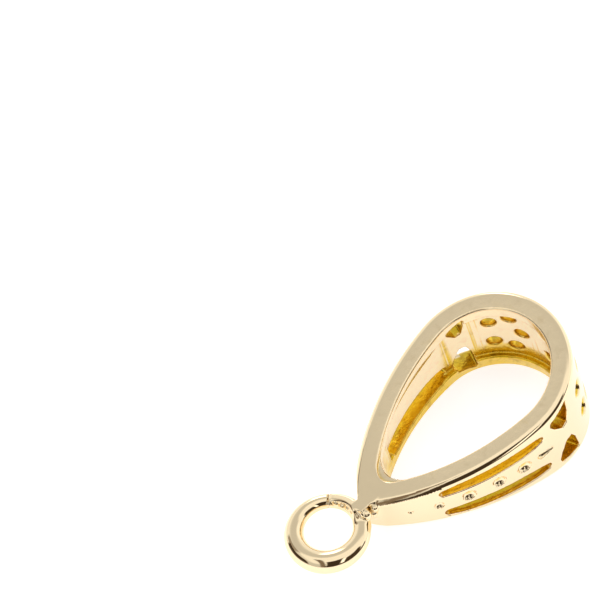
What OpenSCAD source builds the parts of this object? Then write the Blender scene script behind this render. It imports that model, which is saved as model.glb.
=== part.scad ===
// Pendant bail: a pierced teardrop loop for a chain, with a small wire ring for the pendant.
// It lies on its side. The loop is drawn upright in its own frame, with x from the ring to the
// crown, y across the teardrop and z along the width of the band, and is then laid on one side rim.

/* [Loop] */
// Outside radius of the round crown
crown_r = 4.8; // [4.6:0.05:5]
// Distance from the centre of the ring to the centre of the crown
crown_x = 11.9; // [11.5:0.1:12.5]
// Angle from the top of the crown to where each leg starts
crown_turn = 95; // [94:0.5:96]
// Outside radius of the slow curve of each leg
leg_r = 15.2; // [14.8:0.1:15.6]
// Distance from the centre of the ring to the end face of the legs
neck_x = 2.3; // [2.2:0.05:2.5]

/* [Band] */
// Width of the band at the end face of the legs
neck_w = 2.5; // [2.4:0.05:2.7]
// Width of the band at the top of the crown
crown_w = 6.7; // [6.5:0.05:7]
// Depth of the side rims, from the outer face to the opening
rim_t = 1.2; // [1.1:0.05:1.3]
// Width of the side rims, seen from inside the loop
rim_w = 0.85; // [0.75:0.05:0.9]
// Thickness of the pierced plate between the rims
plate_t = 0.85; // [0.75:0.05:0.95]
// Radius of the rounded point of the opening
point_r = 0.9; // [0.8:0.05:1]

/* [Piercings] */
// Radius of each crown hole
hole_r = 0.4; // [0.3:0.05:0.45]
// Radius of the conical seat of each crown hole
seat_r = 0.57; // [0.5:0.01:0.6]
// Depth of the conical seat
seat_deep = 0.25; // [0.15:0.05:0.35]
// Radius of the corners of the fan cut-outs
fan_corner_r = 0.13; // [0.1:0.01:0.15]

/* [Cups] */
// Radius of the mouth of each blind cup on the bossed leg
cup_r = 0.48; // [0.4:0.02:0.5]
// Radius of the small hole in the floor of each cup
cup_floor_r = 0.26; // [0.2:0.02:0.28]
// Depth of the conical mouth
cup_mouth_deep = 0.2; // [0.15:0.05:0.25]
// Depth of the whole cup
cup_deep = 0.4; // [0.35:0.05:0.45]
// Depth of a plain dimple on the smooth leg, beside its radius
dimple_deep = 0.85; // [0.6:0.05:1]
// Depth of the panel round the raised bosses
panel_deep = 0.2; // [0.1:0.05:0.25]
// Width of the border that the panel leaves along each rim
border_w = 0.5; // [0.45:0.05:0.6]
// Half the width of the keyhole groove where it meets the first cup
groove_r = 0.28; // [0.2:0.01:0.3]
// Depth of the keyhole groove
groove_deep = 0.2; // [0.1:0.05:0.25]

/* [Ring] */
// Radius of the centre line of the wire
ring_r = 1.86; // [1.8:0.02:1.9]
// Radius of the wire
wire_r = 0.52; // [0.5:0.01:0.54]
// How far the ring sits off the middle of the loop, towards the far leg
ring_y = 0.32; // [0.2:0.01:0.4]
// How far the ring sits above the middle of the band
ring_z = 0.38; // [0.3:0.01:0.42]
// Twist of the ring about the length of the bail
ring_twist = 1; // [0.5:0.5:4]
// Angle round the ring at which the wire meets the tongue
seam_at = 45; // [40:1:50]
// Width of the seam, as an angle round the ring
seam_gap = 3; // [2:0.5:5]
// Outside radius of the flat tongue, from the centre of the ring
tongue_r = 2.2; // [2.15:0.01:2.3]
// Angle at which the top of the tongue falls away towards the seam
tongue_fall = 13; // [10:1:16]

/* [Hidden] */
$fn = 96;

// How far cutters run past the faces that they cut
over = 0.5;
big = 30;
// Straight steps in each round corner of a cut-out
arc_steps = 6;

// The half width of the band grows evenly from the neck to the crown
crown_top = crown_x + crown_r;
slope = (crown_w - neck_w) / 2 / (crown_top - neck_x);
half_w0 = neck_w / 2 - slope * neck_x;
lean = atan(slope);

// Centre of each leg's curve, which meets the crown's circle without a corner
leg_cx = crown_x - (leg_r - crown_r) * cos(crown_turn);
leg_cy = (leg_r - crown_r) * sin(crown_turn);
join_x = crown_x + crown_r * cos(crown_turn);
crown_len = crown_turn * PI / 180 * crown_r;

// The bail rests on its lower rim, with its box centred on the origin
low_x = -ring_r * cos(lean) - wire_r - ring_z * sin(lean);
high_x = crown_top * cos(lean) + crown_w / 2 * sin(lean);
mid_x = (low_x + high_x) / 2;
lift = half_w0 * cos(lean);

// Crown holes on one side of the crown's top: distance along the outer face from the top, and
// distance from the middle of the band
CROWN_HOLES = [[0, 1.15], [2.1, 0], [2.75, 1.45], [4.15, 1.0]];

// Corners of one fan cut-out: distance along the face from its middle, and distance from the
// middle of the band
fan_mid = 6.6;
FAN = [[-0.73, 2.33], [-0.4, 0.85], [-0.1, 0.8], [0.35, 1.3], [0.58, 1.75], [0.53, 1.98]];

// One long slot: distance along from its middle, distance from the middle of the band, and half
// its width there
slot_mid = 11.2;
SLOT = [[-2.87, 1.42, 0.33], [-1.4, 1.28, 0.43], [1.4, 1.13, 0.42], [2.8, 1.0, 0.3]];

// Cups down the bossed leg: distance along, and radius of the boss (0 where the plate itself is
// full height) and the size of the cup beside the largest one
CUPS = [[9.45, 0, 1], [11.03, 0.8, 1], [12.8, 0.68, 1], [14.5, 0.64, 0.94], [16.05, 0.5, 0.8]];
// Plain dimples down the smooth leg: distance along and radius
DIMPLES = [[9.45, 0.44], [11.03, 0.42], [12.8, 0.42], [14.5, 0.29], [16.1, 0.1]];
// The keyhole groove runs from here to the first cup, and starts this narrow. On the smooth leg it
// stops short
groove_from = 7.6;
groove_tip_r = 0.1;
groove_short_to = 8.35;
groove_short_r = 0.17;
// The recessed panel runs from here to the neck
panel_from_x = 7.9;

// Solder beads beside the neck: x, y, z and radius
BEADS = [[2.1, -0.56, 0.75, 0.22], [2.56, -0.78, 0.95, 0.17]];

module disc_at(x, y, r) {
    translate([x, y]) circle(r);
}

// Teardrop outline drawn inwards by inset, with its point rounded by tip_r, or cut off at cut_x
module teardrop(inset, tip_r, cut_x) {
    r = leg_r - inset;
    tip_x = leg_cx - sqrt(pow(r - tip_r, 2) - pow(leg_cy, 2));
    from_x = tip_r > 0 ? leg_cx + (tip_x - leg_cx) * r / (r - tip_r) : cut_x;
    disc_at(crown_x, 0, crown_r - inset);
    if (tip_r > 0) disc_at(tip_x, 0, tip_r);
    intersection() {
        disc_at(leg_cx, leg_cy, r);
        disc_at(leg_cx, -leg_cy, r);
        translate([from_x, -crown_r]) square([join_x - from_x, 2 * crown_r]);
    }
}

// Prism of the teardrop through the whole width
module teardrop_prism(inset, tip_r, cut_x) {
    translate([0, 0, -crown_w]) linear_extrude(2 * crown_w) teardrop(inset, tip_r, cut_x);
}

// Space between the two side faces, drawn in by border on each side
module wedge(border) {
    h0 = half_w0 - border;
    rotate([90, 0, 0])
        translate([0, 0, -crown_r - over])
            linear_extrude(2 * (crown_r + over))
                polygon([[-h0 / slope, 0], [big, h0 + slope * big], [big, -h0 - slope * big]]);
}

// Places its children on the outer face at a distance along it from the top of the crown, with
// x pointing out of the metal and y along the face towards the neck
module on_face(along) {
    if (along < crown_len)
        translate([crown_x, 0, 0]) rotate(along / crown_r * 180 / PI)
            translate([crown_r, 0, 0]) children();
    else
        translate([leg_cx, -leg_cy, 0]) rotate(crown_turn + (along - crown_len) / leg_r * 180 / PI)
            translate([leg_r, 0, 0]) children();
}

// Cutter from a flat outline, from deep below the face to over above it
module cut_down(deep) {
    translate([-deep, 0, 0]) rotate([90, 0, 90]) linear_extrude(deep + over) children();
}

// Solid round hole or boss from deep below the face to high above it
module peg(r, deep, high) {
    translate([-deep, 0, 0]) rotate([0, 90, 0]) cylinder(r = r, h = deep + high);
}

// Conical mouth, r_top at the face and r_low at its depth
module mouth(r_top, r_low, deep) {
    grow = (r_top - r_low) / deep;
    translate([-deep, 0, 0]) rotate([0, 90, 0])
        cylinder(r1 = r_low, r2 = r_top + grow * over, h = deep + over);
}

// Points on an arc round the station c, given as x, y and radius
function arc(c, from, to) =
    [for (k = [0:arc_steps]) let (a = from + (to - from) * k / arc_steps)
        [c[0] + c[2] * cos(a), c[1] + c[2] * sin(a)]];

// Slot outline with round ends, through stations given as x, y and half width
function slot_outline(stations) =
    let (n = len(stations) - 1)
        concat(arc(stations[0], 90, 270),
            [for (i = [1:1:n - 1]) [stations[i][0], stations[i][1] - stations[i][2]]],
            arc(stations[n], -90, 90),
            [for (i = [n - 1:-1:1]) [stations[i][0], stations[i][1] + stations[i][2]]]);

// Direction from one point to another, as an angle
function heading(a, b) = atan2(b[1] - a[1], b[0] - a[0]);

// Outline with a round corner at each point, the points listed anticlockwise
function rounded(points, r) =
    let (n = len(points))
        [for (i = [0:n - 1])
            let (
                p = points[i],
                from = heading(points[(i + n - 1) % n], p) - 90,
                turn = (heading(p, points[(i + 1) % n]) - 90 - from + 720) % 360
            )
                each arc([p[0], p[1], r], from, from + turn)];

module slot_cutter() {
    on_face(slot_mid) cut_down(1.4) polygon(slot_outline(SLOT));
}

module fan_cutter() {
    on_face(fan_mid) cut_down(1.4) polygon(rounded(FAN, fan_corner_r));
}

module crown_hole(along, off) {
    on_face(along) translate([0, 0, off]) {
        peg(hole_r, 1.6, over);
        mouth(seat_r, hole_r, seat_deep);
    }
}

module cup(along, size) {
    on_face(along) {
        mouth(cup_r * size, cup_floor_r * size, cup_mouth_deep);
        peg(cup_floor_r * size, cup_deep, 0);
    }
}

module dimple(along, r) {
    on_face(along) mouth(r, r * 0.3, r * dimple_deep);
}

module groove(to, root_r) {
    on_face(to) cut_down(groove_deep)
        polygon(slot_outline([[groove_from - to, 0, groove_tip_r], [0, 0, root_r]]));
}

// Panel sunk between the rims of the bossed leg, round its lower bosses
module panel_cutter() {
    difference() {
        intersection() {
            wedge(border_w);
            translate([neck_x + 0.25, 0, -crown_r])
                cube([panel_from_x - neck_x - 0.25, crown_r, 2 * crown_r]);
        }
        teardrop_prism(panel_deep, 0, neck_x - over);
        for (c = CUPS) if (c[1] > 0) on_face(c[0]) peg(c[1], 1, over);
    }
}

// Everything that is cut out of one leg and its half of the crown
module leg_piercings(bossed) {
    for (side = [0, 1]) mirror([0, 0, side]) {
        slot_cutter();
        fan_cutter();
    }
    if (bossed) for (c = CUPS) cup(c[0], c[2]);
    else for (d = DIMPLES) dimple(d[0], d[1]);
    if (bossed) groove(CUPS[0][0], groove_r);
    else groove(groove_short_to, groove_short_r);
}

module crown_piercings() {
    for (h = CROWN_HOLES)
        for (dir = h[0] > 0 ? [-1, 1] : [1])
            for (off = h[1] > 0 ? [-1, 1] : [1])
                crown_hole(dir * h[0], off * h[1]);
}

module loop_body() {
    difference() {
        intersection() {
            teardrop_prism(0, 0, neck_x);
            wedge(0);
        }
        teardrop_prism(rim_t, point_r, 0);
        // The plate between the rims is thinner than the rims
        intersection() {
            teardrop_prism(plate_t, point_r, 0);
            wedge(rim_w);
        }
        panel_cutter();
        leg_piercings(true);
        mirror([0, 1, 0]) leg_piercings(false);
        crown_piercings();
    }
}

module ring_place() {
    translate([0, ring_y, ring_z]) rotate([ring_twist, 0, 0]) children();
}

module wire_ring() {
    ring_place() rotate(seam_at + seam_gap)
        rotate_extrude(angle = 360 - seam_gap) translate([ring_r, 0]) circle(wire_r);
}

// Flat tongue between the ring and the legs. It starts flush with the upper side face and falls to
// the top of the wire at the seam
module tongue() {
    intersection() {
        wedge(0);
        translate([0, 0, 1.24]) rotate([-tongue_fall, 0, 0])
            translate([0, -big / 2, -big]) cube([big, big, big]);
        difference() {
            translate([0, ring_y, 0]) linear_extrude(neck_w)
                intersection() {
                    circle(tongue_r);
                    polygon([[0, 0], big * [cos(seam_at), sin(seam_at)], [big, 0],
                        big * [cos(30), -sin(30)]]);
                }
            translate([0, ring_y, -over]) cylinder(r = ring_r - 0.25, h = neck_w + 2 * over);
        }
    }
}

// Block that joins the ring's root to the end of the legs
module neck() {
    intersection() {
        wedge(0);
        translate([ring_r, -0.6, -0.35]) cube([neck_x - ring_r + 0.6, 0.75, neck_w]);
    }
}

module beads() {
    for (b = BEADS) translate([b[0], b[1], b[2]]) sphere(b[3]);
}

module bail() {
    color("goldenrod")
        translate([-mid_x, 0, lift]) rotate([0, -lean, 0]) {
            loop_body();
            wire_ring();
            tongue();
            neck();
            beads();
        }
}

bail();
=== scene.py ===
"""Pierced teardrop bail of pale gold, lying on its side on a white table.

The metal is worked out as one form: a function gives the distance from any point to its surface, a
fine net is laid over that surface, and the net's points are then drawn onto it.
"""

import math

import bpy
import numpy as np
from bpy.props import FloatProperty, FloatVectorProperty, IntProperty, PointerProperty
from mathutils import Matrix, Vector


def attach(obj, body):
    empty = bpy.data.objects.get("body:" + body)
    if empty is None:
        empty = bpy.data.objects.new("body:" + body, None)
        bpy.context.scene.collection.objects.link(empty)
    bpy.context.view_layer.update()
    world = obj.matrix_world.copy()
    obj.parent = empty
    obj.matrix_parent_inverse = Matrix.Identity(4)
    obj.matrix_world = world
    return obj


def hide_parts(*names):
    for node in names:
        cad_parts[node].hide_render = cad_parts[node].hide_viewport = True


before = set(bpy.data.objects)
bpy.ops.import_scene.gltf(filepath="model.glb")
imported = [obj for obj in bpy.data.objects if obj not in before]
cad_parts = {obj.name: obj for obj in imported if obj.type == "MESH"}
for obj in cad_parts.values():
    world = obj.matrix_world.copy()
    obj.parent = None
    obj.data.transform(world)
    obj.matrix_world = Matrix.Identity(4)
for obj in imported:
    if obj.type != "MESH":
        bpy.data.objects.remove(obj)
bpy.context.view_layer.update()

bl_info = {
    "name": "Pierced bail",
    "version": (1, 0, 0),
    "blender": (4, 5, 0),
    "location": "3D View > Sidebar > Bail",
    "description": "Builds a pierced teardrop bail and the table that it lies on",
    "category": "Add Mesh",
}

MM = 0.001
PHOTO_SIDE = 598
# Longest size that a property may have, in metres
LONGEST = 0.05
# A distance that nothing reaches, and the least number to divide by
FAR_AWAY = 1e9
TINY = 1e-9

# Sizes from here to the room are in millimetres, and places are in the loop's frame.

# How far the neck and its solder reach up the loop
FITTINGS_END = 4.6
# How far past the crown's centre the legs' ornament may reach
LEG_END = 1.0

# Holes through the crown, on one quarter of it: distance along the outer face from the top of the
# crown, and distance from the middle of the band, in millimetres
CROWN_HOLES = [
    {"along": 0.0, "off": 1.15},
    {"along": 2.1, "off": 0.0},
    {"along": 2.75, "off": 1.45},
    {"along": 4.15, "off": 1.0},
]

# Corners of one fan-shaped cut-out, in the same two distances
FAN = [
    {"along": 5.87, "off": 2.33},
    {"along": 5.97, "off": 1.4},
    {"along": 6.2, "off": 0.85},
    {"along": 6.5, "off": 0.8},
    {"along": 6.95, "off": 1.3},
    {"along": 7.18, "off": 1.75},
    {"along": 7.13, "off": 1.98},
]

# Stations of one long slot, with half its width at each
SLOT = [
    {"along": 8.22, "off": 1.42, "half": 0.29},
    {"along": 8.7, "off": 1.38, "half": 0.38},
    {"along": 9.6, "off": 1.3, "half": 0.43},
    {"along": 10.6, "off": 1.24, "half": 0.43},
    {"along": 12.0, "off": 1.15, "half": 0.43},
    {"along": 13.2, "off": 1.08, "half": 0.39},
    {"along": 14.05, "off": 1.0, "half": 0.3},
]

# Blind cups down the bossed leg: size beside the largest, and radius of the raised boss round each,
# which is 0 where the strip itself stands at full height
CUPS = [
    {"along": 9.45, "size": 1.0, "boss": 0.0},
    {"along": 11.03, "size": 1.0, "boss": 0.8},
    {"along": 12.8, "size": 1.0, "boss": 0.68},
    {"along": 14.5, "size": 0.94, "boss": 0.64},
    {"along": 16.05, "size": 0.8, "boss": 0.5},
]

# Plain dimples down the smooth leg, with the radius of each at the face
DIMPLES = [
    {"along": 9.45, "radius": 0.44},
    {"along": 11.03, "radius": 0.42},
    {"along": 12.8, "radius": 0.42},
    {"along": 14.5, "radius": 0.29},
    {"along": 16.1, "radius": 0.14},
]

# Solder beads beside the neck and along the inside of the tongue
BEADS = [
    {"at": (2.0, -0.68, 0.8), "radius": 0.33},
    {"at": (2.54, -0.84, 0.98), "radius": 0.22},
    {"at": (2.4, -0.86, 0.62), "radius": 0.2},
    {"at": (1.16, 1.42, 0.56), "radius": 0.15},
    {"at": (1.4, 1.1, 0.66), "radius": 0.13},
    {"at": (1.5, 0.72, 0.7), "radius": 0.15},
    {"at": (1.6, 0.36, 0.78), "radius": 0.12},
    {"at": (1.62, 0.05, 0.7), "radius": 0.14},
]

# Web in the point of the opening: how widely the legs flow together there, how far it lies under
# the side faces, where it ends and the softness of its joint
WEB = {"flow": 2.4, "under": 0.22, "end": 5.6, "ease": 0.06}

# Slanting facet at the end of each leg: its plane, and the radius of its edges
FACETS = {
    "bossed": {"x": -0.777, "y": 0.629, "off": 1.617, "edge": 0.08},
    "dimpled": {"x": -0.87, "y": 0.49, "off": 1.886, "edge": 0.05},
}

# Sunk panel: how far past the end of the leg it starts, and how much its walls slant
PANEL = {"foot": 0.25, "draft": 0.5}

# How much the slant of a cone shortens the distance to it, in the seats and in the cups' mouths
SEAT_SLANT = 0.85
MOUTH_SLANT = 0.75
# Depth from which the edges of the crown holes are softer
HOLE_INSIDE = 0.45
# Width of the ledge between a cup's mouth and its well
CUP_LEDGE = 0.08
# Radius of the short groove at its wide end
SHORT_ROOT = 0.26
# Radius from which a dimple has the whole depth of its step
FULL_DIMPLE = 0.4

# Softness of the edges that the finer cuts leave
EDGES = {
    "end": 0.06, "hole": 0.05, "hole_inside": 0.12, "panel": 0.06, "mouth": 0.05,
    "well": 0.04, "short_groove": 0.04, "dimple": 0.03, "top": 0.04, "seam": 0.04,
}

# Widths over which one part flows into the next. The wire's joint widens on the near side, over
# NEAR_SIDE, and along the bail, over ALONG_WIRE.
JOINTS = {
    "plate": 0.1, "neck": 0.25, "tongue": 0.15, "wire": 0.08, "wire_more": 0.3, "bead": 0.06,
}
NEAR_SIDE = 0.4
ALONG_WIRE = 1.0

# How near to the wire's core the seam cuts, and how near to the ring's middle the swell is counted
SEAM_CORE = 0.25
RING_HUB = 0.3

# Tongue: the height where its top starts to fall, the slant of its low end and the height that
# this end turns about, how far it reaches over the wire, its underside and the radii of its edges
TONGUE = {
    "top": 1.22, "slant": 0.8, "slant_about": 0.7, "overlap": 0.25, "under": -0.02,
    "end_edge": 0.05, "side_edge": 0.1, "corner": 0.06, "top_edge": 0.2,
}

# Block of the neck: its middle and half its size, its underside and the radius of its edges
NECK = {"x": 2.4, "half_x": 0.6, "y": -0.225, "half_y": 0.375, "under": -0.35, "edge": 0.1}

# Grid round the metal: where it starts, how far it goes past the crown and the sides, how far
# before the ends of the legs the loop is worked out, and the distance given to empty cells
GRID = {"start": -2.8, "past_crown": 0.3, "past_side": 0.25, "before_legs": 1.0, "empty": 9.0}

# Step over which a slope is felt, the least slope that is trusted, and the longest move of a point
# beside the side of a cell
FEELER = 0.004
LEAST_SLOPE = 0.05
LONGEST_MOVE = 0.6

# How far out from a point its shelter is felt, for the painted shade
PROBES = (0.12, 0.35, 0.8)
# Where the inside of the loop begins, in depth under the outer face and along the bail
INSIDE = {"deep": 0.25, "deep_soft": 0.4, "start": 4.0, "start_soft": 2.0}
# Painted shade on the lower part of the inside: where it starts, beside half the band's width, and
# how much lighter it is at the crown
LOW = {"start": -0.36, "soft": 0.1, "lighter": 0.35, "lighter_start": 9.0, "lighter_soft": 3.0}
# Depths between which a face counts as the wall of a piercing and gets painted shade, and the
# margin at the side faces
WALLS = {
    "leg": (0.22, 0.82), "crown": (0.03, 0.74), "top_soft": 0.12, "foot_soft": 0.08,
    "margin": 0.2, "margin_soft": 0.1,
}
# Width of the shaded line at the step between plate and rim
STEP_WIDTH = 0.06
# How much shelter counts in the painted shade in all, on the outer face and by depth, what the
# inside of the loop adds to the painted shade, and how much standing out counts
SHELTER = {"gain": 1.6, "on_face": 0.2, "by_depth": 1.6, "inside": 0.2}
EDGE_GAIN = 1.5

# Unevenness of the gold: lumps to the millimetre, and fineness and roughness of the noise
NOISES = {
    "clouds": {"per_mm": 0.9, "detail": 2.0},
    "grain": {"per_mm": 14.0, "detail": 2.0, "roughness": 0.6},
    "wave": {"per_mm": 1.1, "detail": 1.0},
    "ripple": {"per_mm": 4.0, "detail": 2.0},
    "blots": {"per_mm": 2.2, "detail": 2.0},
}
# Heights of the unevenness, and how strongly it turns the light
HEIGHTS = {"wave": 0.011, "ripple": 0.0014, "hollow_ripple": 0.03, "grain": 0.0003}
BUMP = 0.7
# How much each measure counts in the gold's warmth and its dark blots, which carry the painted
# shade, and in its dullness
WARMTH = {"hollow": 1.25, "clouds": 0.3, "start": 0.4, "edge": 0.3}
BLOTS = {"contrast": 4.0, "start": 2.1, "strength": 0.65}
DULLNESS = {"inside": 0.09, "clouds": 0.08, "start": 0.04, "edge": 0.03}

# The table: half its side in metres, the size, share and colour of its grain, and its roughness
TABLE_HALF = 1.5
TABLE_GRAIN = {"per_mm": 0.05, "detail": 2.0}
TABLE_SHARE = 0.1
TABLE_GRAIN_COLOUR = (0.58, 0.58, 0.61, 1)
TABLE_ROUGHNESS = 0.6

# What stands in the grey room: its reach towards the camera's side, across and in height, each as a
# part of the full distance, the softness of its edges and its brightness
ROOM = [
    # Wall on the far side
    {"ahead": (-1.3, -0.35), "across": (-1.3, 1.3), "height": (-0.2, 0.66),
     "soft": 0.16, "level": 1.0},
    # Wall on the right
    {"ahead": (-1.0, 0.5), "across": (0.5, 1.3), "height": (0.05, 0.72),
     "soft": 0.1, "level": 1.15},
    # Ceiling
    {"ahead": (-0.18, 0.8), "across": (-0.75, 0.95), "height": (0.5, 1.5),
     "soft": 0.12, "level": 1.05},
    # Bright strip on the far side
    {"ahead": (-0.95, -0.68), "across": (-0.22, -0.04), "height": (0.2, 0.7),
     "soft": 0.03, "level": 2.6},
    # Grey card on the far left
    {"ahead": (-0.5, -0.1), "across": (-0.88, -0.62), "height": (0.3, 0.85),
     "soft": 0.05, "level": 0.35},
    # Dark board on the left
    {"ahead": (-0.35, 0.6), "across": (-1.3, -0.8), "height": (0.1, 0.5),
     "soft": 0.03, "level": 0.06},
    # Narrow dark stand on the near side
    {"ahead": (0.15, 1.3), "across": (-0.47, -0.33), "height": (0.06, 0.97),
     "soft": 0.03, "level": 0.22},
    # Low dark board along the near side
    {"ahead": (0.1, 1.3), "across": (-0.35, 1.3), "height": (0.06, 0.26),
     "soft": 0.03, "level": 0.05},
    # Dark board on the near right
    {"ahead": (0.3, 1.3), "across": (0.34, 0.88), "height": (0.06, 0.68),
     "soft": 0.04, "level": 0.06},
    # Bright gap beside it
    {"ahead": (0.3, 1.3), "across": (0.2, 0.34), "height": (0.28, 0.68),
     "soft": 0.03, "level": 1.6},
    # Dark board in the middle of the near side
    {"ahead": (0.55, 1.3), "across": (-0.27, 0.2), "height": (0.06, 0.84),
     "soft": 0.03, "level": 0.05},
]
# Directions towards the camera's side and to its right
CAMERA_SIDE, CAMERA_RIGHT = (-0.574, -0.819, 0), (0.819, -0.574, 0)
# Tint of the room where it is dark, and the brightness over which it clears
DARK_TINT, NO_TINT = (1, 0.68, 0.42, 1), (1, 1, 1, 1)
TINT_END, TINT_SOFT = 0.3, 0.3
# Soft lamp, in metres
LAMP_PLACE, LAMP_SIZE = (-0.28, 0.24, 0.36), 0.25

# The picture's right and up in the loop's frame, one point of the loop and its pixel
PICTURE_RIGHT, PICTURE_UP = (0.731, -0.657, -0.185), (0.646, 0.579, 0.496)
PICTURE_POINT, PICTURE_PIXEL = (9.12, 0.0, 0.0), (456.6, 428.5)
# Width of the camera's sensor, in millimetres
SENSOR = 36.0


def length(name, description, default):
    """A length property in metres, from a default in millimetres."""
    return FloatProperty(
        name=name, description=description, default=default * MM,
        min=0.0, max=LONGEST, unit="LENGTH", precision=5,
    )


def angle(name, description, degrees):
    """An angle property, from a default in degrees."""
    return FloatProperty(
        name=name, description=description, default=math.radians(degrees), subtype="ANGLE"
    )


def colour(name, description, default):
    """A colour property."""
    return FloatVectorProperty(
        name=name, description=description, default=default,
        min=0.0, max=1.0, subtype="COLOR", size=3,
    )


def keys_of(group):
    """Names of a group's own properties."""
    return [key for key in group.bl_rna.properties.keys() if key not in ("rna_type", "name")]


class LoopSizes(bpy.types.PropertyGroup):
    """Sizes of the teardrop loop and its band."""

    crown_radius: length("Crown radius", "Outside radius of the round crown", 4.8)
    crown_place: length(
        "Crown place", "Distance from the ring's centre to the crown's centre", 11.9
    )
    crown_turn: angle("Crown turn", "Angle from the top of the crown to each leg's start", 95)
    leg_radius: length("Leg radius", "Outside radius of each leg's slow curve", 15.2)
    neck_place: length(
        "Neck place", "Distance from the ring's centre to the end face of the legs", 2.3
    )
    neck_width: length("Neck width", "Width of the band at the end face of the legs", 2.5)
    crown_width: length("Crown width", "Width of the band at the top of the crown", 6.7)
    rim_depth: length("Rim depth", "Depth of the side rims from the outer face", 1.2)
    rim_width: length("Rim width", "Width of the side rims, seen from inside the loop", 0.85)
    plate_depth: length("Plate depth", "Thickness of the pierced plate between the rims", 0.85)
    outer_edge: length("Outer edge", "Radius of the rounded outer edges of the band", 0.38)
    inner_edge: length("Inner edge", "Radius of the small roundings inside the loop", 0.12)
    point_blend: length("Point blend", "How widely the two legs flow together in the point", 1.33)


class PiercingSizes(bpy.types.PropertyGroup):
    """Sizes of the holes, cups and panels."""

    hole_radius: length("Hole radius", "Radius of each hole through the crown", 0.4)
    seat_radius: length("Seat radius", "Radius of the conical seat round each crown hole", 0.58)
    seat_depth: length("Seat depth", "Depth of the conical seat", 0.25)
    fan_corner: length("Fan corner", "Radius of the corners of the fan cut-outs", 0.13)
    groove_short: length(
        "Short groove", "Distance along the face to the short groove's wide end", 8.33
    )
    dimple_step: length("Dimple step", "Depth of the flat step round each plain dimple", 0.045)
    dimple_depth: FloatProperty(
        name="Dimple depth", description="Depth of a plain dimple beside its radius", default=0.72
    )
    cup_radius: length("Cup radius", "Radius of the mouth of the largest cups", 0.48)
    cup_floor: length("Cup floor", "Radius of the small hole in the floor of each cup", 0.24)
    cup_mouth: length("Cup mouth", "Depth of the cup's conical mouth", 0.2)
    cup_depth: length("Cup depth", "Depth of the whole cup", 0.42)
    panel_depth: length("Panel depth", "Depth of the panel round the raised bosses", 0.2)
    panel_border: length(
        "Panel border", "Width of the border between the panel and the side faces", 0.5
    )
    panel_start: length(
        "Panel start", "Distance from the ring's centre to the panel's upper end", 7.9
    )
    groove_tip: length("Groove tip", "Radius of the keyhole groove at its narrow end", 0.09)
    groove_root: length("Groove root", "Radius of the keyhole groove at the first cup", 0.26)
    groove_start: length("Groove start", "Distance along the face to the groove's narrow end", 7.6)
    edge_blend: length("Edge blend", "Softness of the edges that the piercings leave", 0.09)


class RingSizes(bpy.types.PropertyGroup):
    """Sizes of the small ring and the neck."""

    ring_radius: length("Ring radius", "Radius of the centre line of the wire", 1.86)
    wire_radius: length("Wire radius", "Middling radius of the wire", 0.52)
    wire_swell: length("Wire swell", "How much thicker the wire is at its thickest place", 0.12)
    swell_turn: angle("Swell place", "Angle round the ring to the thickest place of the wire", 216)
    ring_off: length("Ring offset", "How far the ring sits off the middle of the loop", 0.32)
    ring_rise: length("Ring rise", "How far the ring sits above the middle of the band", 0.38)
    ring_twist: angle("Ring twist", "Twist of the ring about the bail's length", 1)
    seam_turn: angle("Seam place", "Angle round the ring where the wire meets the tongue", 45)
    seam_width: length("Seam width", "Width of the seam in the wire", 0.07)
    tongue_radius: length("Tongue radius", "Outside radius of the tongue", 2.19)
    tongue_fall: angle("Tongue fall", "Angle at which the tongue's top falls to the seam", 14)
    tongue_turn: angle("Tongue turn", "Angle round the ring to the tongue's other end", -30)


class NetSizes(bpy.types.PropertyGroup):
    """Fineness of the net that is laid over the metal."""

    cell: length("Cell", "Side of one cell of the net", 0.066)
    faces: IntProperty(
        name="Faces", description="Most triangles that the metal may have", default=194000
    )


class GoldLook(bpy.types.PropertyGroup):
    """Colours and finish of the plated metal."""

    pale: colour("Pale gold", "Colour of the polished plating", (0.94, 0.77, 0.5))
    # Warm gold is mostly painted shade: the gold turns to it in hollows, inside the loop and on the
    # walls of the piercings, and also in random clouds
    warm: colour(
        "Warm gold", "Colour of the plating in hollows and inside the loop", (0.8, 0.54, 0.035)
    )
    # Deep gold colours dark blots that lie only in the painted shade
    deep: colour("Deep gold", "Colour of the darker mottling in the hollows", (0.42, 0.23, 0.012))
    roughness: FloatProperty(
        name="Roughness", description="Roughness of the polished faces",
        default=0.07, subtype="FACTOR",
    )
    hollow_roughness: FloatProperty(
        name="Hollow roughness", description="Extra roughness where polish does not reach",
        default=0.11, subtype="FACTOR",
    )


class StageLook(bpy.types.PropertyGroup):
    """Table, light and camera."""

    table: colour("Table", "Colour of the table", (0.62, 0.62, 0.63))
    scale: FloatProperty(
        name="Picture scale", description="Pixels of the picture to a millimetre", default=18.52
    )
    distance: FloatProperty(
        name="Camera distance", description="Distance from the camera to the bail",
        default=0.6, unit="LENGTH",
    )
    glow: FloatProperty(
        name="Table glow", description="Light that the lit table gives back", default=1.14
    )
    walls: FloatProperty(
        name="Room strength", description="Brightness of the grey room", default=0.65
    )
    key: FloatProperty(
        name="Key power", description="Power of the soft lamp", default=0.8, unit="POWER"
    )


# ---- Distances ----


def fade(room, width):
    """0 where there is no room, and 1 from a whole width on."""
    return np.clip(room / width, 0.0, 1.0)


def soft_union(a, b, k):
    """Union of two distances, with the corner between them filled over a width k."""
    h = np.maximum(k - np.abs(a - b), 0.0) / k
    return np.minimum(a, b) - h * h * k * 0.25


def soft_cut(body, hole, k):
    """The body with the hole taken out, its edges eased over a width k."""
    return -soft_union(-body, hole, k)


def round_meet(a, b, r):
    """Intersection of two distances, with the edge between them rounded to the radius r."""
    a, b = a + r, b + r
    return np.minimum(np.maximum(a, b), 0.0) + np.hypot(np.maximum(a, 0.0), np.maximum(b, 0.0)) - r


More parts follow.
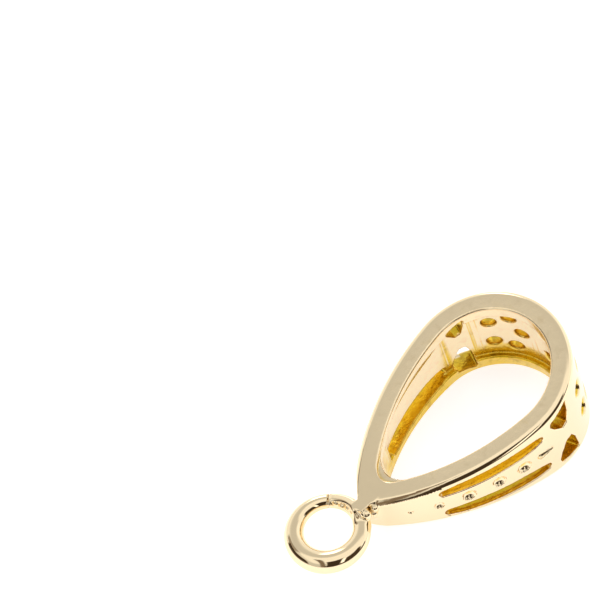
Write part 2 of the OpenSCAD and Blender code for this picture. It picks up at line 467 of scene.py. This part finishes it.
def polygon_distance(px, py, corners):
    """Signed distance in the plane to a polygon whose corners run one way round."""
    far = np.full(px.shape, FAR_AWAY)
    inside = np.ones(px.shape)
    for (ax, ay), (bx, by) in zip(corners, corners[1:] + corners[:1]):
        ex, ey = bx - ax, by - ay
        wx, wy = px - ax, py - ay
        h = np.clip((wx * ex + wy * ey) / (ex * ex + ey * ey), 0.0, 1.0)
        far = np.minimum(far, (wx - ex * h) ** 2 + (wy - ey * h) ** 2)
        above, below = py >= ay, py < by
        left = ex * wy > ey * wx
        flips = (above & below & left) | (~above & ~below & ~left)
        inside = np.where(flips, -inside, inside)
    return inside * np.sqrt(far)


class BailForm:
    """The metal as a distance function, in millimetres, in the loop's own frame.

    x runs from the ring to the crown, y across the teardrop and z along the width of the band.
    """

    def __init__(self, loop, cuts, ring):
        for group in (loop, cuts, ring):
            for key in keys_of(group):
                value = getattr(group, key)
                in_metres = group.bl_rna.properties[key].unit == "LENGTH"
                setattr(self, key, value / MM if in_metres else value)
        self.slope = (self.crown_width - self.neck_width) / 2 / (
            self.crown_place + self.crown_radius - self.neck_place
        )
        self.half_at_ring = self.neck_width / 2 - self.slope * self.neck_place
        self.lean = math.atan(self.slope)
        reach = self.leg_radius - self.crown_radius
        self.leg_x = self.crown_place - reach * math.cos(self.crown_turn)
        self.leg_y = reach * math.sin(self.crown_turn)
        self.crown_length = self.crown_turn * self.crown_radius

    def to_world(self, points):
        """Loop frame in millimetres to the row's frame in metres, lower rim on the table."""
        c, s = math.cos(self.lean), math.sin(self.lean)
        low = -self.ring_radius * c - self.wire_radius - self.ring_rise * s
        high = (self.crown_place + self.crown_radius) * c + self.crown_width / 2 * s
        out = self.turn_to_world(points)
        out[:, 0] -= (low + high) / 2
        out[:, 2] += self.half_at_ring * c
        return out * MM

    def turn_to_world(self, directions):
        """Directions in the loop frame to the row's frame."""
        c, s = math.cos(self.lean), math.sin(self.lean)
        x, y, z = directions[:, 0], directions[:, 1], directions[:, 2]
        return np.stack([x * c - z * s, y, x * s + z * c], 1)

    def half_width(self, x):
        """Half the width of the band."""
        return self.half_at_ring + self.slope * x

    def face(self, x, y):
        """Distance along the outer face, depth under it, and how the length shrinks with depth."""
        dx = x - self.crown_place
        turn = np.arctan2(y, dx)
        r_crown = np.hypot(dx, y)
        lx, ly = x - self.leg_x, y + self.leg_y
        r_leg = np.hypot(lx, ly)
        on_crown = turn <= self.crown_turn
        along = np.where(
            on_crown,
            turn * self.crown_radius,
            self.crown_length + (np.arctan2(ly, lx) - self.crown_turn) * self.leg_radius,
        )
        deep = np.where(on_crown, self.crown_radius - r_crown, self.leg_radius - r_leg)
        squeeze = np.where(on_crown, r_crown / self.crown_radius, r_leg / self.leg_radius)
        return along, deep, squeeze

    def band(self, x, y, w, deep, half):
        """The loop before it is pierced."""
        c = math.cos(self.lean)
        other = self.leg_radius - np.hypot(x - self.leg_x, y - self.leg_y)
        flow = soft_union(deep, other, self.point_blend)
        rim = round_meet(flow - self.rim_depth, (half - self.rim_width - w) * c, self.inner_edge)
        inside = soft_union(flow - self.plate_depth, rim, JOINTS["plate"])
        outside = round_meet(-deep, (w - half) * c, self.outer_edge)
        metal = round_meet(outside, inside, self.inner_edge)
        web = soft_union(deep, other, WEB["flow"]) - self.rim_depth
        web = np.maximum(web, w - half + WEB["under"])
        web = np.maximum(web, np.maximum(x - WEB["end"], outside))
        metal = soft_union(metal, web, WEB["ease"])
        return round_meet(metal, self.neck_place - x, EDGES["end"])

    def panel(self, x, w, along, deep, squeeze):
        """Sunk panel round the lower bosses."""
        border = w - self.half_width(x) + self.panel_border
        region = np.maximum(border, x - self.panel_start)
        region = np.maximum(region, self.neck_place + PANEL["foot"] - x)
        for cup in CUPS:
            if cup["boss"] > 0:
                gap = np.hypot((along - cup["along"]) * squeeze, w)
                region = np.maximum(region, cup["boss"] - gap)
        slanted = region + PANEL["draft"] * np.maximum(deep, 0.0)
        return np.maximum(slanted, deep - self.panel_depth)

    def slots(self, along, w):
        """One long slot, as a chain of stations."""
        nearest = np.full(along.shape, FAR_AWAY)
        for a, b in zip(SLOT, SLOT[1:]):
            ex, ey = b["along"] - a["along"], b["off"] - a["off"]
            wx, wy = along - a["along"], w - a["off"]
            h = np.clip((wx * ex + wy * ey) / (ex * ex + ey * ey), 0.0, 1.0)
            half = a["half"] + h * (b["half"] - a["half"])
            nearest = np.minimum(nearest, np.hypot(wx - ex * h, wy - ey * h) - half)
        return nearest

    def piercings(self, metal, w, along, deep, squeeze):
        """The band with its slots, fans and crown holes cut, which both legs have alike."""
        k = self.edge_blend
        metal = soft_cut(metal, self.slots(along, w), k)
        fan = polygon_distance(along, w, [(p["along"], p["off"]) for p in FAN]) - self.fan_corner
        metal = soft_cut(metal, fan, k)
        for hole in CROWN_HOLES:
            gap = np.hypot((along - hole["along"]) * squeeze, w - hole["off"])
            cone = np.clip(1 - deep / self.seat_depth, 0.0, 2.0)
            flare = (self.seat_radius - self.hole_radius) * cone
            edge = EDGES["hole"] + EDGES["hole_inside"] * (deep > HOLE_INSIDE)
            metal = soft_cut(metal, (gap - self.hole_radius - flare) * SEAT_SLANT, edge)
        return metal

    def groove(self, w, along, deep, to, root):
        """Groove that widens as it runs down the middle of the strip."""
        h = np.clip((along - self.groove_start) / (to - self.groove_start), 0.0, 1.0)
        at = self.groove_start + h * (to - self.groove_start)
        gap = np.sqrt((along - at) ** 2 + w**2 + deep**2)
        return gap - self.groove_tip - h * (root - self.groove_tip)

    def end_facet(self, metal, x, y, facet):
        """The leg with its end slanted off along a plane."""
        plane = facet["off"] + facet["x"] * x + facet["y"] * y
        return round_meet(metal, plane, facet["edge"])

    def bossed(self, metal, x, y, w, along, deep, squeeze):
        """The leg with the sunk panel, its raised bosses and their cups."""
        metal = self.end_facet(metal, x, y, FACETS["bossed"])
        panel = self.panel(x, w, along, deep, squeeze)
        metal = soft_cut(metal, panel, EDGES["panel"])
        groove = self.groove(w, along, deep, CUPS[0]["along"], self.groove_root)
        metal = soft_cut(metal, groove, self.edge_blend)
        for cup in CUPS:
            size = cup["size"]
            gap = np.hypot((along - cup["along"]) * squeeze, w)
            narrows = self.cup_radius - self.cup_floor - CUP_LEDGE
            mouth_r = self.cup_radius - narrows * deep / self.cup_mouth
            mouth = np.maximum((gap - mouth_r * size) * MOUTH_SLANT, deep - self.cup_mouth)
            well = np.maximum(gap - self.cup_floor * size, deep - self.cup_depth)
            metal = soft_cut(metal, mouth, EDGES["mouth"])
            metal = soft_cut(metal, well, EDGES["well"])
        return metal

    def dimpled(self, metal, x, y, w, along, deep, squeeze):
        """The smooth leg with its plain dimples and the slanting facet at its end."""
        metal = self.end_facet(metal, x, y, FACETS["dimpled"])
        groove = self.groove(w, along, deep, self.groove_short, SHORT_ROOT)
        metal = soft_cut(metal, groove, EDGES["short_groove"])
        for dimple in DIMPLES:
            r = dimple["radius"]
            gap = np.hypot((along - dimple["along"]) * squeeze, w)
            step = np.maximum(gap - r, deep - self.dimple_step * min(1, r / FULL_DIMPLE))
            bowl = np.hypot(gap, deep + r * (1 - self.dimple_depth)) - r
            metal = soft_cut(metal, step, EDGES["dimple"])
            metal = soft_cut(metal, bowl, EDGES["dimple"])
        return metal

    def loop(self, x, y, z):
        """The whole pierced loop. Its side rims are alike, and its legs differ in ornament."""
        far = y > 0
        y, w = np.abs(y), np.abs(z)
        along, deep, squeeze = self.face(x, y)
        metal = self.band(x, y, w, deep, self.half_width(x))
        metal = self.piercings(metal, w, along, deep, squeeze)
        leg = x < self.crown_place + LEG_END
        for side, cut in ((leg & far, self.bossed), (leg & ~far, self.dimpled)):
            metal[side] = cut(*(v[side] for v in (metal, x, y, w, along, deep, squeeze)))
        return metal

    def wire(self, x, y, z):
        """The small ring with its seam."""
        c, s = math.cos(self.ring_twist), math.sin(self.ring_twist)
        y, z = y - self.ring_off, z - self.ring_rise
        y, z = y * c + z * s, z * c - y * s
        rho = np.hypot(x, y)
        core = np.hypot(rho - self.ring_radius, z)
        swell = self.wire_swell * (
            x * math.cos(self.swell_turn) + y * math.sin(self.swell_turn)
        ) / np.maximum(rho, RING_HUB)
        across = y * math.cos(self.seam_turn) - x * math.sin(self.seam_turn)
        ahead = x * math.cos(self.seam_turn) + y * math.sin(self.seam_turn)
        cut = np.abs(across - self.seam_width / 2) - self.seam_width / 2
        slit = np.maximum(cut, SEAM_CORE - core)
        slit = np.maximum(slit, -ahead)
        return core - self.wire_radius - swell, slit

    def tongue(self, x, y, z):
        """Flat-topped sector that the wire closes on. Its top falls away towards the seam."""
        fall = (z - TONGUE["top"]) * math.cos(self.tongue_fall) + y * math.sin(self.tongue_fall)
        y = y - self.ring_off
        rho = np.hypot(x, y)
        a, b = self.seam_turn, self.tongue_turn
        rise, upright = TONGUE["slant"], math.cos(math.atan(TONGUE["slant"]))
        low_end = x * math.sin(b) - y * math.cos(b) + rise * (z - TONGUE["slant_about"])
        ends = y * math.cos(a) - x * math.sin(a)
        ends = round_meet(ends, low_end * upright, TONGUE["end_edge"])
        inner = self.ring_radius - TONGUE["overlap"] - rho
        ring = round_meet(rho - self.tongue_radius, inner, TONGUE["side_edge"])
        tongue = round_meet(ends, ring, TONGUE["corner"])
        tongue = round_meet(tongue, TONGUE["under"] - z, TONGUE["side_edge"])
        return round_meet(tongue, fall, TONGUE["top_edge"])

    def neck(self, x, y, z):
        """Block between the ring's root and the end of the legs, without its top."""
        edge = NECK["edge"]
        wide = np.abs(y - NECK["y"]) - NECK["half_y"]
        block = round_meet(np.abs(x - NECK["x"]) - NECK["half_x"], wide, edge)
        return round_meet(block, NECK["under"] - z, edge)

    def with_fittings(self, loop, x, y, z):
        """The loop joined to the tongue, neck, ring and solder beads."""
        top = (z - self.half_at_ring - self.slope * x) * math.cos(self.lean)
        flat = soft_union(loop, self.neck(x, y, z), JOINTS["neck"])
        flat = soft_union(flat, self.tongue(x, y, z), JOINTS["tongue"])
        flat = round_meet(flat, top, EDGES["top"])
        wire, slit = self.wire(x, y, z)
        more = JOINTS["wire_more"] * fade(-y, NEAR_SIDE) * fade(x, ALONG_WIRE)
        metal = soft_union(flat, wire, JOINTS["wire"] + more)
        metal = soft_cut(metal, slit, EDGES["seam"])
        for bead in BEADS:
            bx, by, bz = bead["at"]
            ball = np.sqrt((x - bx) ** 2 + (y - by) ** 2 + (z - bz) ** 2) - bead["radius"]
            metal = soft_union(metal, ball, JOINTS["bead"])
        return metal

    def distance(self, points):
        """Distance from each point to the whole metal."""
        x, y, z = points[:, 0], points[:, 1], points[:, 2]
        metal = self.loop(x, y, z)
        near = x < FITTINGS_END
        metal[near] = self.with_fittings(metal[near], x[near], y[near], z[near])
        return metal

    def gradient(self, points):
        """Direction in which the distance grows, by differences."""
        out = np.empty(points.shape)
        for axis in range(3):
            step = np.zeros(3)
            step[axis] = FEELER
            ahead, behind = self.distance(points + step), self.distance(points - step)
            out[:, axis] = (ahead - behind) / (2 * FEELER)
        return out


# ---- Net over the form ----


def field_of(form, cell):
    """Distances on a grid round the metal. The loop's like halves are worked out once."""
    past_side = GRID["past_side"]
    crown_end = form.crown_place + form.crown_radius + GRID["past_crown"]
    n_x = int(math.ceil((crown_end - GRID["start"]) / cell))
    n_y = int(math.ceil((form.crown_radius + past_side) / cell))
    n_z = int(math.ceil((form.crown_width / 2 + past_side) / cell))
    xs = GRID["start"] + cell * np.arange(n_x + 1)
    ys, zs = cell * np.arange(-n_y, n_y + 1), cell * np.arange(n_z + 1)
    upper = np.full((len(xs), len(ys), len(zs)), GRID["empty"])
    start = int(np.searchsorted(xs, form.neck_place - GRID["before_legs"]))
    gx, gy, gz = np.meshgrid(xs[start:], ys, zs, indexing="ij")
    upper[start:] = form.loop(gx.ravel(), gy.ravel(), gz.ravel()).reshape(gx.shape)
    whole = np.concatenate([upper[:, :, :0:-1], upper], axis=2)
    end = int(np.searchsorted(xs, FITTINGS_END))
    zs = np.concatenate([-zs[:0:-1], zs])
    gx, gy, gz = np.meshgrid(xs[:end], ys, zs, indexing="ij")
    near = form.with_fittings(whole[:end].ravel(), gx.ravel(), gy.ravel(), gz.ravel())
    whole[:end] = near.reshape(gx.shape)
    return whole, np.array([xs[0], ys[0], zs[0]])


def net_over(field, corner, cell):
    """Points and four-sided faces of a net through every cell that the surface crosses."""
    inside = field < 0
    shape = tuple(n - 1 for n in field.shape)
    count = np.zeros(shape, np.int8)
    for i in (0, 1):
        for j in (0, 1):
            for k in (0, 1):
                count += inside[i : shape[0] + i, j : shape[1] + j, k : shape[2] + k]
    cells = np.argwhere((count > 0) & (count < 8))
    index = np.full(shape, -1, np.int64)
    index[tuple(cells.T)] = np.arange(len(cells))
    total, hits = np.zeros((len(cells), 3)), np.zeros(len(cells))
    for axis in range(3):
        others = [a for a in range(3) if a != axis]
        for p in (0, 1):
            for q in (0, 1):
                at = cells.copy()
                at[:, others[0]] += p
                at[:, others[1]] += q
                to = at.copy()
                to[:, axis] += 1
                a, b = field[tuple(at.T)], field[tuple(to.T)]
                crosses = (a < 0) != (b < 0)
                t = np.where(crosses, a / np.where(crosses, a - b, 1.0), 0.0)
                point = at.astype(float)
                point[:, axis] += t
                total += point * crosses[:, None]
                hits += crosses
    points = corner + cell * total / hits[:, None]
    faces = []
    for axis in range(3):
        u, v = (axis + 1) % 3, (axis + 2) % 3
        low = [slice(None)] * 3
        high = [slice(None)] * 3
        low[axis], high[axis] = slice(0, -1), slice(1, None)
        at = np.argwhere(inside[tuple(low)] != inside[tuple(high)])
        at = at[(at[:, u] > 0) & (at[:, v] > 0) & (at[:, u] < shape[u]) & (at[:, v] < shape[v])]
        ring = []
        for du, dv in ((-1, -1), (0, -1), (0, 0), (-1, 0)):
            c = at.copy()
            c[:, u] += du
            c[:, v] += dv
            ring.append(index[tuple(c.T)])
        quad = np.stack(ring, 1)
        outward = inside[tuple(at.T)]
        quad[~outward] = quad[~outward][:, ::-1]
        faces.append(quad)
    return points, np.concatenate(faces)


def draw_onto(form, points, rounds, cell):
    """Moves points onto the surface, a little at a time."""
    for _ in range(rounds):
        slope = form.gradient(points)
        steep = np.maximum((slope**2).sum(1), LEAST_SLOPE)
        move = -slope * (form.distance(points) / steep)[:, None]
        size = np.sqrt((move**2).sum(1))
        move *= np.minimum(1.0, LONGEST_MOVE * cell / np.maximum(size, TINY))[:, None]
        points = points + move
    return points


def mesh_from(name, points, faces):
    """A mesh of triangles or four-sided faces, all of one kind."""
    mesh = bpy.data.meshes.new(name)
    sides = faces.shape[1]
    mesh.vertices.add(len(points))
    mesh.vertices.foreach_set("co", points.astype(np.float32).ravel())
    mesh.loops.add(faces.size)
    mesh.loops.foreach_set("vertex_index", faces.astype(np.int32).ravel())
    mesh.polygons.add(len(faces))
    mesh.polygons.foreach_set("loop_start", np.arange(0, faces.size, sides, dtype=np.int32))
    mesh.update(calc_edges=True)
    mesh.validate()
    return mesh


def thinned(points, faces, most):
    """The net with fewer triangles where the surface is flat. It is thinned in the loop's frame."""
    mesh = mesh_from("net", points, faces)
    holder = bpy.data.objects.new("net", mesh)
    bpy.context.scene.collection.objects.link(holder)
    tri = holder.modifiers.new("Triangles", "TRIANGULATE")
    tri.quad_method = "SHORTEST_DIAGONAL"
    thin = holder.modifiers.new("Thin", "DECIMATE")
    thin.ratio = min(1.0, most / (2.0 * len(faces)))
    ready = holder.evaluated_get(bpy.context.evaluated_depsgraph_get())
    done = bpy.data.meshes.new_from_object(ready)
    co = np.empty(len(done.vertices) * 3)
    done.vertices.foreach_get("co", co)
    corners = np.empty(len(done.loops), np.int32)
    done.loops.foreach_get("vertex_index", corners)
    bpy.data.objects.remove(holder)
    bpy.data.meshes.remove(mesh)
    bpy.data.meshes.remove(done)
    return co.reshape(-1, 3), corners.reshape(-1, 3)


def add_measure(mesh, name, values):
    """Keeps one number at each point of the mesh, for the material to read."""
    layer = mesh.attributes.new(name, "FLOAT", "POINT")
    layer.data.foreach_set("value", values.astype(np.float32))


def measures_of(form, points, normals):
    """Painted shade at each point, from how sheltered it is, then how much it stands out and how
    far inside the loop it is, all from 0 to 1. The lower part of the loop's inside, a thin line at
    the step under each rim and the walls of the piercings count as sheltered, so they get painted
    shade too."""
    # Painted shade from how closely the metal surrounds each point, felt at three reaches
    sheltered = np.zeros(len(points))
    for reach in PROBES:
        room = form.distance(points + normals * reach) / reach
        sheltered += np.clip(1 - room, 0.0, 1.0) / len(PROBES)
    under = -form.distance(points - normals * PROBES[0]) / PROBES[0]
    x, y, z = points[:, 0], points[:, 1], points[:, 2]
    deep = form.face(x, np.abs(y))[1]
    half = form.half_width(x)
    on_loop = fade(x - INSIDE["start"], INSIDE["start_soft"])
    inside = fade(deep - INSIDE["deep"], INSIDE["deep_soft"]) * on_loop
    # Painted shade on the lower part of the loop's inside, lighter towards the crown
    low = fade(LOW["start"] - z / half, LOW["soft"]) * inside
    low = low * (1 - LOW["lighter"] * fade(x - LOW["lighter_start"], LOW["lighter_soft"]))
    crown = x > form.crown_place + LEG_END
    start = np.where(crown, WALLS["crown"][0], WALLS["leg"][0])
    end = np.where(crown, WALLS["crown"][1], WALLS["leg"][1])
    # Painted shade on the walls of the piercings
    cut = fade(deep - start, WALLS["top_soft"]) * fade(end - deep, WALLS["foot_soft"])
    cut = cut * fade(half - WALLS["margin"] - np.abs(z), WALLS["margin_soft"]) * on_loop
    # Painted shade line just under each rim, at the step to the plate
    step = np.exp(-(((np.abs(z) - half + form.rim_width) / STEP_WIDTH) ** 2)) * inside
    by_depth = np.clip(SHELTER["on_face"] + deep * SHELTER["by_depth"], 0.0, 1.0)
    # All the painted shade together: shelter weighed by depth, the lower inside, the piercing
    # walls, the step line, and a little more everywhere inside the loop
    hollow = sheltered * SHELTER["gain"] * by_depth + low + cut + step
    hollow = np.clip(hollow + inside * SHELTER["inside"], 0.0, 1.0)
    return hollow, np.clip((1 - under) * EDGE_GAIN, 0.0, 1.0), inside


# ---- Materials ----


class Value:
    """A shader socket that takes part in Python sums."""

    def __init__(self, bench, socket):
        self.bench, self.socket = bench, socket

    def _sum(self, operation, first, second):
        return self.bench.add("ShaderNodeMath", {"operation": operation}, {0: first, 1: second})

    def __add__(self, other):
        return self._sum("ADD", self, other)

    __radd__ = __add__

    def __mul__(self, other):
        return self._sum("MULTIPLY", self, other)

    __rmul__ = __mul__

    def __sub__(self, other):
        return self._sum("SUBTRACT", self, other)

    def __rsub__(self, other):
        return self._sum("SUBTRACT", other, self)


class Bench:
    """A node tree, with one way to add each node."""

    def __init__(self, tree):
        self.tree = tree
        tree.nodes.clear()

    def add(self, kind, settings=None, sockets=None, out=0):
        """Adds a node: its settings first, then its sockets. Returns one of its outputs."""
        node = self.tree.nodes.new(kind)
        for key, value in (settings or {}).items():
            setattr(node, key, value)
        for key, value in (sockets or {}).items():
            if isinstance(value, Value):
                self.tree.links.new(value.socket, node.inputs[key])
            else:
                node.inputs[key].default_value = value
        return Value(self, node.outputs[out]) if len(node.outputs) else node

    def mix(self, factor, a, b):
        """Mixes two colours."""
        return self.add("ShaderNodeMix", {"data_type": "RGBA"}, {0: factor, 6: a, 7: b}, out=2)

    def rise(self, value, at, soft):
        """Goes smoothly from 0 to 1 as the value passes a place."""
        return self.add(
            "ShaderNodeMapRange",
            {"interpolation_type": "SMOOTHSTEP"},
            {"Value": value, "From Min": at - soft, "From Max": at + soft},
        )

    def noise(self, where, per_mm, detail, roughness=0.5):
        """Noise with that many lumps to the millimetre, as a number."""
        return self.add(
            "ShaderNodeTexNoise",
            {},
            {"Vector": where, "Scale": per_mm / MM, "Detail": detail, "Roughness": roughness},
        )

    def part_along(self, where, direction):
        """How far a place lies in a direction, as a number."""
        return self.add(
            "ShaderNodeVectorMath", {"operation": "DOT_PRODUCT"}, {0: where, 1: direction}, out=1
        )


def gold(look):
    """Polished pale gold plating: casting grain, wavy polish, duller in hollows, and warmer and
    darker where shade is painted into its colour, in hollows and inside the loop.
    """
    material = bpy.data.materials.new("Pale gold plating")
    material.use_nodes = True
    b = Bench(material.node_tree)
    where = b.add("ShaderNodeTexCoord", out=3)
    # Painted shade, worked out with the mesh; it also makes the gold duller and more uneven there
    hollow = b.add("ShaderNodeAttribute", {"attribute_name": "hollow"}, out=2)
    edge = b.add("ShaderNodeAttribute", {"attribute_name": "edge"}, out=2)
    inside = b.add("ShaderNodeAttribute", {"attribute_name": "inside"}, out=2)
    clouds, grain, wave, ripple, blots = (b.noise(where, **kind) for kind in NOISES.values())
    # Warm tint from the painted shade and from random clouds of warmer tone, paler on the edges
    warmth = hollow * WARMTH["hollow"] + clouds * WARMTH["clouds"] - WARMTH["start"]
    tint = b.add("ShaderNodeClamp", {}, {0: warmth - edge * WARMTH["edge"]})
    tone = b.mix(tint, (*look.pale, 1), (*look.warm, 1))
    # Dark blots of deep gold, only where shade is painted
    blot = (blots * BLOTS["contrast"] - BLOTS["start"]) * hollow
    dark = b.add("ShaderNodeClamp", {}, {0: blot})
    tone = b.mix(dark * BLOTS["strength"], tone, (*look.deep, 1))
    rough = look.roughness + hollow * look.hollow_roughness + inside * DULLNESS["inside"]
    rough = rough + clouds * DULLNESS["clouds"] - DULLNESS["start"] - edge * DULLNESS["edge"]
    rippled = ripple * (hollow * HEIGHTS["hollow_ripple"] + HEIGHTS["ripple"])
    height = wave * HEIGHTS["wave"] + rippled + grain * HEIGHTS["grain"]
    normal = b.add("ShaderNodeBump", {}, {"Strength": BUMP, "Distance": MM, "Height": height})
    shader = b.add(
        "ShaderNodeBsdfPrincipled",
        {},
        {"Base Color": tone, "Metallic": 1.0, "Roughness": rough, "Normal": normal},
    )
    b.add("ShaderNodeOutputMaterial", {}, {"Surface": shader})
    return material


def table_finish(look):
    """Smooth matt table with a barely visible grain."""
    material = bpy.data.materials.new("White table")
    material.use_nodes = True
    b = Bench(material.node_tree)
    where = b.add("ShaderNodeTexCoord", out=3)
    grain = b.noise(where, **TABLE_GRAIN)
    tone = b.mix(grain * TABLE_SHARE, (*look.table, 1), TABLE_GRAIN_COLOUR)
    shader = b.add(
        "ShaderNodeBsdfPrincipled",
        {},
        {"Base Color": tone, "Roughness": TABLE_ROUGHNESS,
         "Emission Color": tone, "Emission Strength": look.glow},
    )
    b.add("ShaderNodeOutputMaterial", {}, {"Surface": shader})
    return material


# ---- Operators ----


class BAIL_OT_metal(bpy.types.Operator):
    """Builds the bail: loop, neck, tongue, ring and solder as one piece of metal"""

    bl_idname = "bail.build_metal"
    bl_label = "Build the bail"

    def execute(self, context):
        scene = context.scene
        form = BailForm(scene.bail_loop, scene.bail_cuts, scene.bail_ring)
        cell = scene.bail_net.cell / MM
        field, corner = field_of(form, cell)
        points, faces = net_over(field, corner, cell)
        if len(faces) == 0:
            raise RuntimeError("the net over the metal is empty")
        points, faces = thinned(draw_onto(form, points, 2, cell), faces, scene.bail_net.faces)
        points = draw_onto(form, points, 2, cell)
        normals = form.gradient(points)
        normals /= np.maximum(np.sqrt((normals**2).sum(1)), TINY)[:, None]
        measures = measures_of(form, points, normals)
        mesh = mesh_from("bail_metal", form.to_world(points), faces)
        if len(mesh.vertices) != len(points):
            raise RuntimeError("the metal's mesh lost some of its points")
        for name, values in zip(("hollow", "edge", "inside"), measures):
            add_measure(mesh, name, values)
        mesh.polygons.foreach_set("use_smooth", np.ones(len(mesh.polygons), bool))
        mesh.normals_split_custom_set_from_vertices(form.turn_to_world(normals).tolist())
        piece = bpy.data.objects.new("bail_metal", mesh)
        scene.collection.objects.link(piece)
        mesh.materials.append(gold(scene.bail_gold))
        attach(piece, "root")
        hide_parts("bail")
        return {"FINISHED"}


class BAIL_OT_stage(bpy.types.Operator):
    """Builds the table, the light and the camera"""

    bl_idname = "bail.build_stage"
    bl_label = "Build the stage"

    def execute(self, context):
        scene = context.scene
        look = scene.bail_stage
        self.table(scene, look)
        self.light(scene, look)
        self.camera(scene, look)
        scene.view_settings.view_transform = "Standard"
        return {"FINISHED"}

    def table(self, scene, look):
        h = TABLE_HALF
        corners = np.array([(-h, -h, 0), (h, -h, 0), (h, h, 0), (-h, h, 0)])
        mesh = mesh_from("table", corners, np.array([[0, 1, 2, 3]]))
        mesh.materials.append(table_finish(look))
        top = bpy.data.objects.new("table", mesh)
        scene.collection.objects.link(top)

    def light(self, scene, look):
        """A grey room with soft boxes and dark stands on the camera's side, and a soft lamp."""
        world = bpy.data.worlds.new("Studio")
        world.use_nodes = True
        b = Bench(world.node_tree)
        where = b.add("ShaderNodeTexCoord", out=0)
        ahead = b.part_along(where, CAMERA_SIDE)
        aside = b.part_along(where, CAMERA_RIGHT)
        height = b.part_along(where, (0, 0, 1))
        strength = look.walls
        for thing in ROOM:
            mask, soft = 1.0, thing["soft"]
            for value, key in ((ahead, "ahead"), (aside, "across"), (height, "height")):
                low, high = thing[key]
                mask = mask * b.rise(value, low, soft) * (1 - b.rise(value, high, soft))
            strength = strength + mask * (thing["level"] - strength)
        tone = b.mix(b.rise(strength, TINT_END, TINT_SOFT), DARK_TINT, NO_TINT)
        sky = b.add("ShaderNodeBackground", {}, {"Color": tone, "Strength": strength})
        b.add("ShaderNodeOutputWorld", {}, {"Surface": sky})
        scene.world = world
        place = Vector(LAMP_PLACE)
        lamp = bpy.data.lights.new("key", "AREA")
        lamp.energy, lamp.size = look.key, LAMP_SIZE
        holder = bpy.data.objects.new("key", lamp)
        holder.location = place
        holder.rotation_mode = "QUATERNION"
        holder.rotation_quaternion = place.to_track_quat("Z", "Y")
        holder.visible_glossy = False
        scene.collection.objects.link(holder)

    def camera(self, scene, look):
        """Looks at the bail as in the picture, where it lies in the lower right."""
        form = BailForm(scene.bail_loop, scene.bail_cuts, scene.bail_ring)
        right, up = np.array(PICTURE_RIGHT), np.array(PICTURE_UP)
        half = PHOTO_SIDE / 2
        aside, below = half - PICTURE_PIXEL[0], half - PICTURE_PIXEL[1]
        aim = np.array(PICTURE_POINT) + right * aside / look.scale - up * below / look.scale
        target = Vector(form.to_world(aim[None])[0])
        sides = form.turn_to_world(np.stack([right, up, np.cross(right, up)]))
        axes = [Vector(side).normalized() for side in sides]
        turn = Matrix((axes[0], axes[1], axes[2])).transposed()
        lens = bpy.data.cameras.new("camera")
        lens.sensor_width = SENSOR
        lens.lens = SENSOR * look.distance / (PHOTO_SIDE / look.scale * MM)
        lens.clip_start, lens.clip_end = 0.01, 5.0
        holder = bpy.data.objects.new("camera", lens)
        holder.rotation_mode = "QUATERNION"
        holder.rotation_quaternion = turn.to_quaternion()
        holder.location = target + axes[2] * look.distance
        scene.collection.objects.link(holder)
        scene.camera = holder


class BAIL_PT_panel(bpy.types.Panel):
    """Lists the sizes and the operators"""

    bl_idname = "BAIL_PT_panel"
    bl_label = "Bail"
    bl_space_type = "VIEW_3D"
    bl_region_type = "UI"
    bl_category = "Bail"

    def draw(self, context):
        layout = self.layout
        for name in SETTINGS:
            group = getattr(context.scene, name)
            box = layout.box()
            for key in keys_of(group):
                box.prop(group, key)
        layout.operator(BAIL_OT_metal.bl_idname)
        layout.operator(BAIL_OT_stage.bl_idname)


SETTINGS = {
    "bail_loop": LoopSizes,
    "bail_cuts": PiercingSizes,
    "bail_ring": RingSizes,
    "bail_net": NetSizes,
    "bail_gold": GoldLook,
    "bail_stage": StageLook,
}
CLASSES = (*SETTINGS.values(), BAIL_OT_metal, BAIL_OT_stage, BAIL_PT_panel)


def register():
    """Makes the properties, operators and panel known to Blender."""
    for cls in CLASSES:
        bpy.utils.register_class(cls)
    for name, group in SETTINGS.items():
        setattr(bpy.types.Scene, name, PointerProperty(type=group))


def unregister():
    """Takes them away again."""
    for name in SETTINGS:
        delattr(bpy.types.Scene, name)
    for cls in reversed(CLASSES):
        bpy.utils.unregister_class(cls)


def main():
    """Builds the bail and its stage."""
    register()
    bpy.ops.bail.build_metal()
    bpy.ops.bail.build_stage()


if __name__ == "__main__":
    main()
